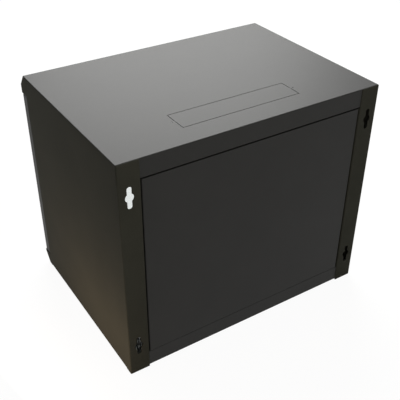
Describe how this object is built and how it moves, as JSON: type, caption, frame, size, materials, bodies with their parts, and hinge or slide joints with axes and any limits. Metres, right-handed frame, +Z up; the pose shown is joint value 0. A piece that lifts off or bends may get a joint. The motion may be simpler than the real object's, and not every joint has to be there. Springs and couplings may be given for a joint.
{
  "type": "wall mount network cabinet",
  "caption": "Box-shaped sheet steel wall cabinet for 19-inch network equipment, with a glass door, keyholed rear posts, a cable entry knock-out and sliding rails.",
  "frame": {"origin": "middle of the footprint, on the surface that the cabinet stands on", "axes": "+Z up; the door faces -Y and the wall side faces +Y; +X to the right as seen from the door"},
  "size_m": [0.6, 0.45, 0.501],
  "materials": {
    "black_powder_coat": "satin black powder coat on folded steel sheet",
    "rail_coat": "satin black powder coat",
    "tinted_glass": "clear grey toughened glass",
    "foam_tape": "matt foam tape",
    "zinc_plate": "bright zinc plate",
    "bright_steel": "turned bright steel",
    "spring_steel": "drawn spring wire",
    "chrome_plate": "chrome plated zinc casting",
    "rubber": "matt rubber",
    "nylon": "moulded black nylon"
  },
  "bodies": {
    "cabinet": {"side_panel_left": "black_powder_coat", "side_panel_right": "black_powder_coat", "top_panel": "black_powder_coat", "bottom_panel": "black_powder_coat", "rear_panel": "black_powder_coat", "top_cable_knockout": "black_powder_coat", "bottom_cable_knockout": "black_powder_coat", "upper_bracket_left": "black_powder_coat", "upper_bracket_right": "black_powder_coat", "lower_bracket_left": "black_powder_coat", "lower_bracket_right": "black_powder_coat", "top_panel_studs": "zinc_plate", "top_panel_nuts": "zinc_plate", "bottom_panel_studs": "zinc_plate", "bottom_panel_nuts": "zinc_plate", "rear_panel_screws": "zinc_plate", "earth_stud": "zinc_plate", "earth_washer": "zinc_plate", "earth_nut": "zinc_plate", "door_buffers": "rubber", "upper_hinge_bush": "nylon", "lower_hinge_bush": "nylon"},
    "left_rail_carriage": {"rail_left": "rail_coat", "rail_screws_left": "zinc_plate", "rail_nuts_left": "zinc_plate"},
    "right_rail_carriage": {"rail_right": "rail_coat", "rail_screws_right": "zinc_plate", "rail_nuts_right": "zinc_plate"},
    "door": {"door_frame": "black_powder_coat", "door_glass": "tinted_glass", "glass_tape": "foam_tape", "glass_clips": "zinc_plate", "glass_clip_studs": "zinc_plate", "glass_clip_nuts": "zinc_plate", "upper_pin_guide": "zinc_plate", "lower_pin_guide": "zinc_plate", "upper_pin_spring": "spring_steel", "lower_pin_spring": "spring_steel", "lock_housing": "chrome_plate", "lock_nut": "zinc_plate"},
    "upper_pin": {"upper_hinge_pin": "bright_steel", "upper_pin_clip": "bright_steel"},
    "lower_pin": {"lower_hinge_pin": "bright_steel", "lower_pin_clip": "bright_steel"},
    "lock": {"lock_plug": "chrome_plate", "lock_cam": "zinc_plate", "cam_screw": "zinc_plate"}
  },
  "joints": [
    {"name": "door_hinge", "type": "hinge", "parent": "cabinet", "child": "door", "pos_m": [-0.2915, -0.214, 0.24225], "axis": [0, 0, -1], "range_deg": [0, 180]},
    {"name": "upper_pin_slide", "type": "slide", "parent": "door", "child": "upper_pin", "axis": [0, 0, -1], "range_m": [0, 0.009], "stiffness_N_per_m": 300, "springref_m": -0.03, "deforming": ["upper_pin_spring"]},
    {"name": "lower_pin_slide", "type": "slide", "parent": "door", "child": "lower_pin", "axis": [0, 0, 1], "range_m": [0, 0.009], "stiffness_N_per_m": 300, "springref_m": -0.03, "deforming": ["lower_pin_spring"]},
    {"name": "lock_turn", "type": "hinge", "parent": "door", "child": "lock", "pos_m": [0.2725, -0.21, 0.24225], "axis": [0, 1, 0], "range_deg": [0, 90]},
    {"name": "left_rail_slide", "type": "slide", "parent": "cabinet", "child": "left_rail_carriage", "axis": [0, 1, 0], "range_m": [-0.015, 0.18]},
    {"name": "right_rail_slide", "type": "slide", "parent": "cabinet", "child": "right_rail_carriage", "axis": [0, 1, 0], "range_m": [-0.015, 0.18]}
  ]
}
